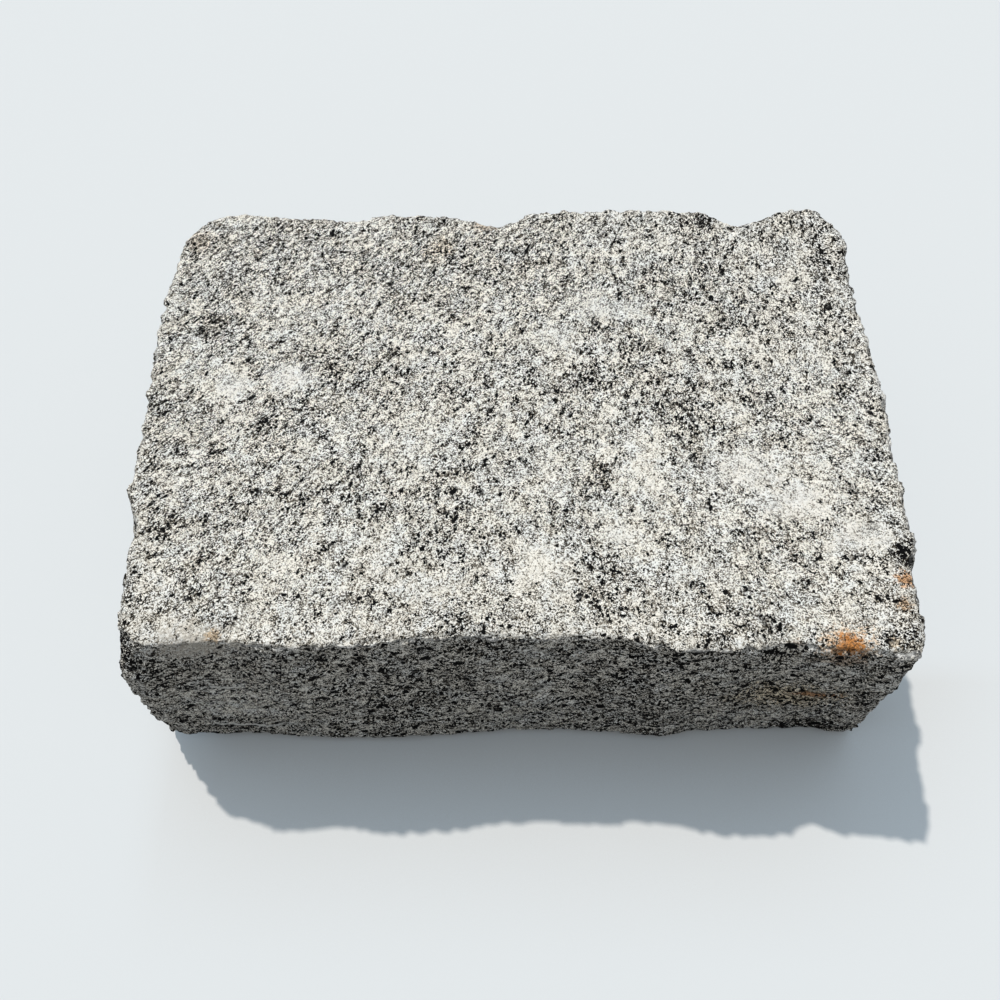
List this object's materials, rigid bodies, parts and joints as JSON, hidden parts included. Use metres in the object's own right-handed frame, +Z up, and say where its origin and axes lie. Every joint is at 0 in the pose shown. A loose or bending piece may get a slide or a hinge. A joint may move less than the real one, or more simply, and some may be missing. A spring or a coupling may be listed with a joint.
{
  "type": "granite belgian block",
  "caption": "Hand-split granite paving block with rough faces, uneven edges and a flat bed to lie on.",
  "frame": {"origin": "on the ground under the middle of the block's box", "axes": "+X along the block's length, +Y from its front face to its back face, +Z up from the bed"},
  "size_m": [0.2808, 0.2008, 0.0976],
  "materials": {
    "granite": "rough split"
  },
  "bodies": {
    "root": {"granite_block": "granite"}
  },
  "joints": []
}
